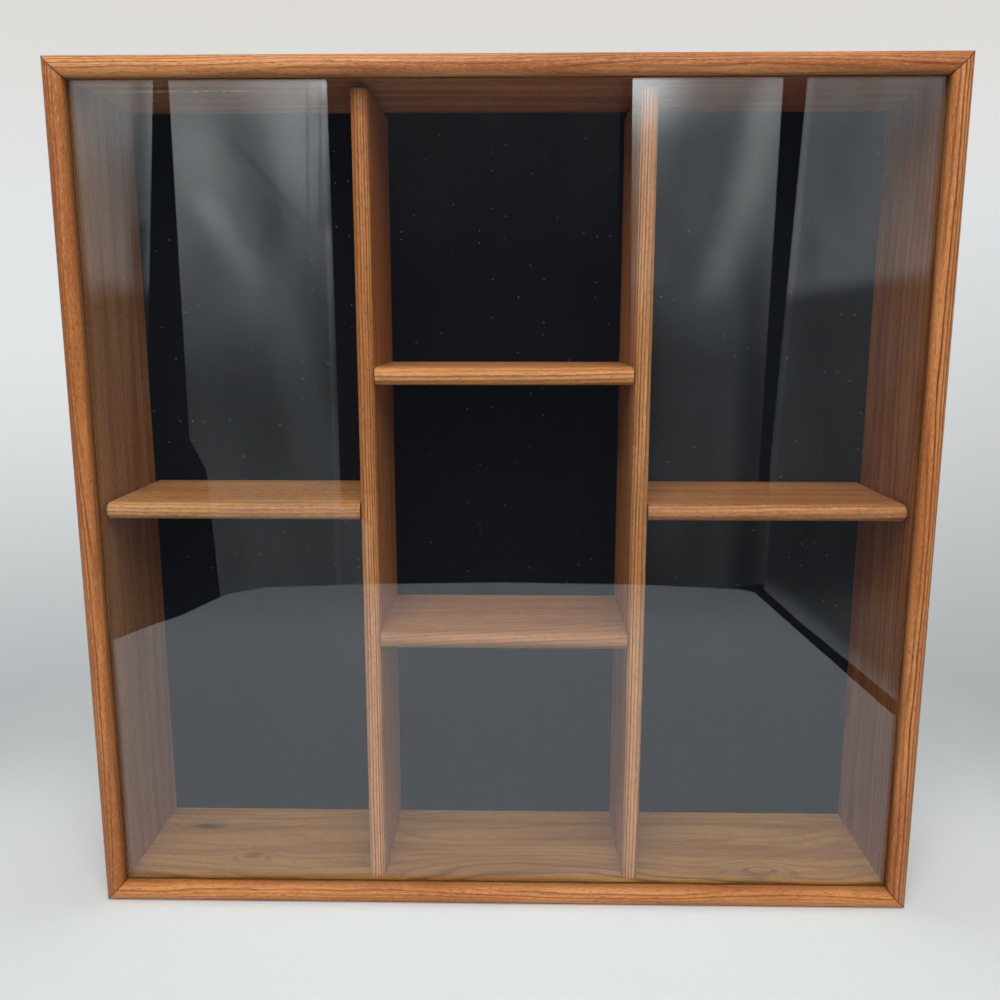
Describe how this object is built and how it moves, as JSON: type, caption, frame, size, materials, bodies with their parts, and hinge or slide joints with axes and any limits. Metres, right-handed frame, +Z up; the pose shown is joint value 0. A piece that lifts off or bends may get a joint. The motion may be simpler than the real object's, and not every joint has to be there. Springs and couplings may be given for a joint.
{
  "type": "fishing lure display case",
  "caption": "Square glass-fronted wooden display case with a felt back and a loose grid of dividers and shelves; the pane lifts out through a slot in the top.",
  "frame": {"origin": "middle of the overall box at the height of the underside that the case stands on", "axes": "+X to the right of a person facing the glass, +Y from the glass to the back, +Z up"},
  "size_m": [0.3556, 0.0786, 0.3556],
  "materials": {
    "stained_pine": "satin varnish over an orange-brown stain",
    "shelf_pine": "satin varnish over an orange-brown stain",
    "clear_glass": "polished, with sanded edges",
    "black_felt": "short matt nap",
    "hardboard": "smooth brown hardboard",
    "brad_steel": "bright wire",
    "hanger_steel": "zinc-plated strip",
    "nail_steel": "bright wire"
  },
  "bodies": {
    "case": {"left_board": "stained_pine", "right_board": "stained_pine", "top_board": "stained_pine", "bottom_board": "stained_pine", "back_felt": "black_felt", "back_panel": "hardboard", "left_divider": "shelf_pine", "right_divider": "shelf_pine", "left_shelf": "shelf_pine", "right_shelf": "shelf_pine", "upper_centre_shelf": "shelf_pine", "lower_centre_shelf": "shelf_pine", "corner_brads": "brad_steel", "back_brads": "brad_steel", "left_hanger": "hanger_steel", "right_hanger": "hanger_steel", "hanger_nails": "nail_steel"},
    "pane": {"glass_pane": "clear_glass"}
  },
  "joints": [
    {"name": "pane_lift", "type": "slide", "parent": "case", "child": "pane", "axis": [0, 0, 1], "range_m": [0, 0.344]}
  ]
}
